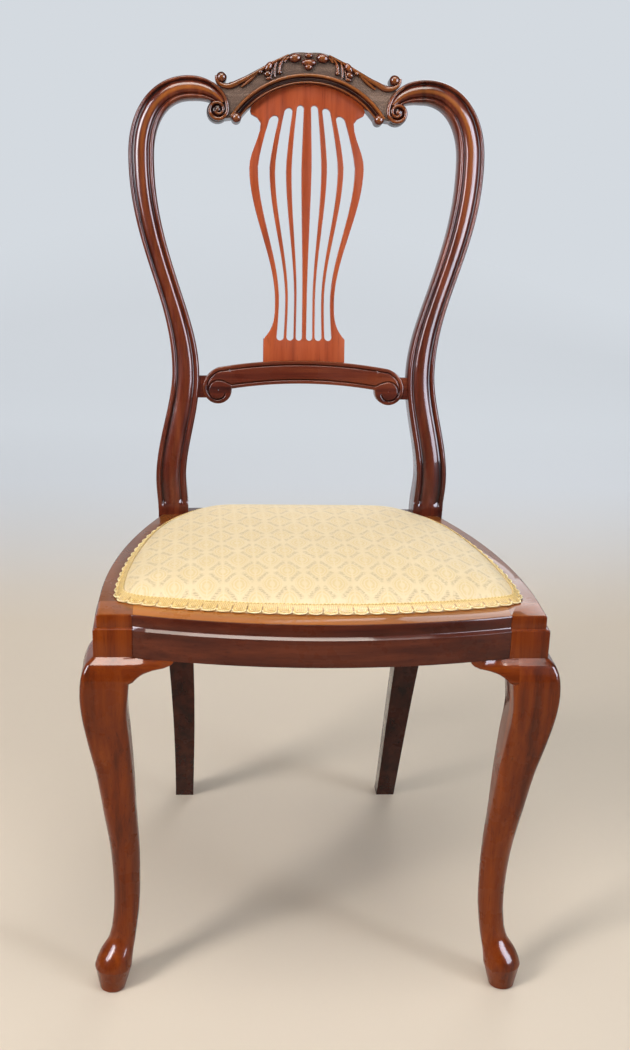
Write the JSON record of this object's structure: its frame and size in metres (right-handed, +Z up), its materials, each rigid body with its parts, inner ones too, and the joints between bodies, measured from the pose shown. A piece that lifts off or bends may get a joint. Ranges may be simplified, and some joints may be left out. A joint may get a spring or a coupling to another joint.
{
  "type": "balloon back chair",
  "caption": "Polished hardwood salon chair with a balloon back, carved crest rail, pierced splat, cabriole front legs, swept rear legs and a stuffed seat edged with braid.",
  "frame": {"origin": "on the floor, at the middle of the chair's width and of its depth from the front rail's bow to the rear feet", "axes": "+X to the right as seen from the front, +Y from the front to the back, +Z up"},
  "size_m": [0.4784, 0.469, 0.9589],
  "materials": {
    "show_wood": "french_polished",
    "leg_wood": "french_polished",
    "splat_wood": "french_polished",
    "brace_wood": "sawn",
    "dowel_wood": "turned",
    "screw_steel": "aged",
    "webbing": "woven_jute",
    "hessian": "open_weave",
    "stuffing": "wadding",
    "cover_fabric": "damask",
    "gimp": "braid"
  },
  "bodies": {
    "root": {"back_post_left": "show_wood", "back_post_right": "show_wood", "crest_rail": "show_wood", "crest_dowels": "dowel_wood", "splat": "splat_wood", "mid_rail": "show_wood", "mid_rail_dowels": "dowel_wood", "front_rail": "show_wood", "side_rail_left": "show_wood", "side_rail_right": "show_wood", "back_rail": "show_wood", "front_leg_left": "leg_wood", "front_leg_right": "leg_wood", "knee_bracket_left_front": "leg_wood", "knee_bracket_right_front": "leg_wood", "knee_bracket_left_side": "leg_wood", "knee_bracket_right_side": "leg_wood", "front_rail_dowels": "dowel_wood", "side_rail_dowels": "dowel_wood", "back_rail_dowels": "dowel_wood", "brace_front_left": "brace_wood", "brace_front_right": "brace_wood", "brace_back_left": "brace_wood", "brace_back_right": "brace_wood", "brace_screws": "screw_steel", "webbing_lengthwise": "webbing", "webbing_crosswise": "webbing", "hessian": "hessian", "stuffing": "stuffing", "seat_cover": "cover_fabric", "gimp_braid": "gimp"}
  },
  "joints": []
}
